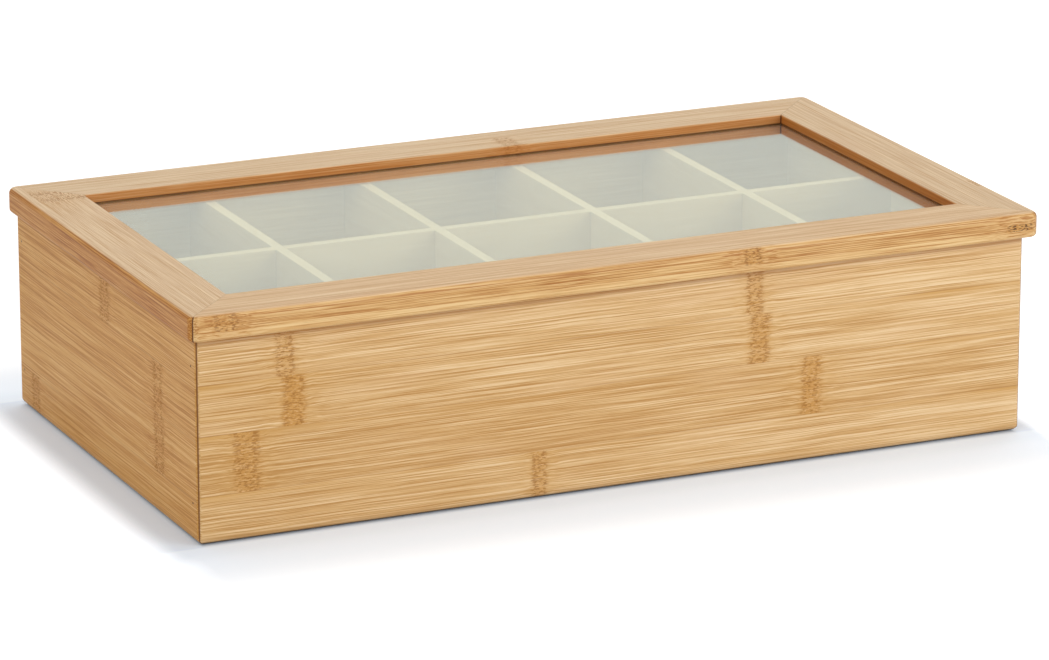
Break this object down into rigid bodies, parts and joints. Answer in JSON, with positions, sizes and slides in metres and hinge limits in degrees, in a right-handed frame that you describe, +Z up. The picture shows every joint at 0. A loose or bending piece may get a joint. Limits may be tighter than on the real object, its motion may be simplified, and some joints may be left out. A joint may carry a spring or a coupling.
{
  "type": "tea bag organizer box",
  "caption": "Low bamboo box with a grid of open compartments for tea bags, under a hinged framed lid with a clear window.",
  "frame": {"origin": "bottom centre of the whole box at rest, lid overhang and hinges included, on the surface it stands on", "axes": "+X along the front to the right, +Y from the front to the hinged back, +Z up"},
  "size_m": [0.36, 0.2144, 0.0922],
  "materials": {
    "bamboo_long_wall": "satin lacquered laminated bamboo, grain along the length",
    "bamboo_end_wall": "satin lacquered laminated bamboo, a shade darker",
    "bamboo_rail": "satin lacquered bamboo strip, eased edges",
    "bamboo_divider": "pale sanded bamboo ply",
    "bamboo_bottom": "pale sanded bamboo ply",
    "clear_pane": "clear, polished, faint green tint",
    "hinge_brass": "satin brass plate",
    "screw_brass": "brass plated, cross recess",
    "brad_steel": "dark wire ends, flush with the wood"
  },
  "bodies": {
    "box": {"front_panel": "bamboo_long_wall", "back_panel": "bamboo_long_wall", "left_panel": "bamboo_end_wall", "right_panel": "bamboo_end_wall", "bottom_panel": "bamboo_bottom", "long_divider": "bamboo_divider", "cross_divider_1": "bamboo_divider", "cross_divider_2": "bamboo_divider", "cross_divider_3": "bamboo_divider", "cross_divider_4": "bamboo_divider", "corner_brads": "brad_steel", "left_hinge_body_leaf": "hinge_brass", "left_hinge_pin": "hinge_brass", "right_hinge_body_leaf": "hinge_brass", "right_hinge_pin": "hinge_brass", "body_hinge_screws": "screw_brass"},
    "lid": {"lid_front_rail": "bamboo_rail", "lid_back_rail": "bamboo_rail", "lid_left_rail": "bamboo_rail", "lid_right_rail": "bamboo_rail", "window_pane": "clear_pane", "left_hinge_lid_leaf": "hinge_brass", "right_hinge_lid_leaf": "hinge_brass", "lid_hinge_screws": "screw_brass"}
  },
  "joints": [
    {"name": "lid_hinge", "type": "hinge", "parent": "box", "child": "lid", "pos_m": [0, 0.10096, 0.082], "axis": [-1, 0, 0], "range_deg": [0, 100]}
  ]
}
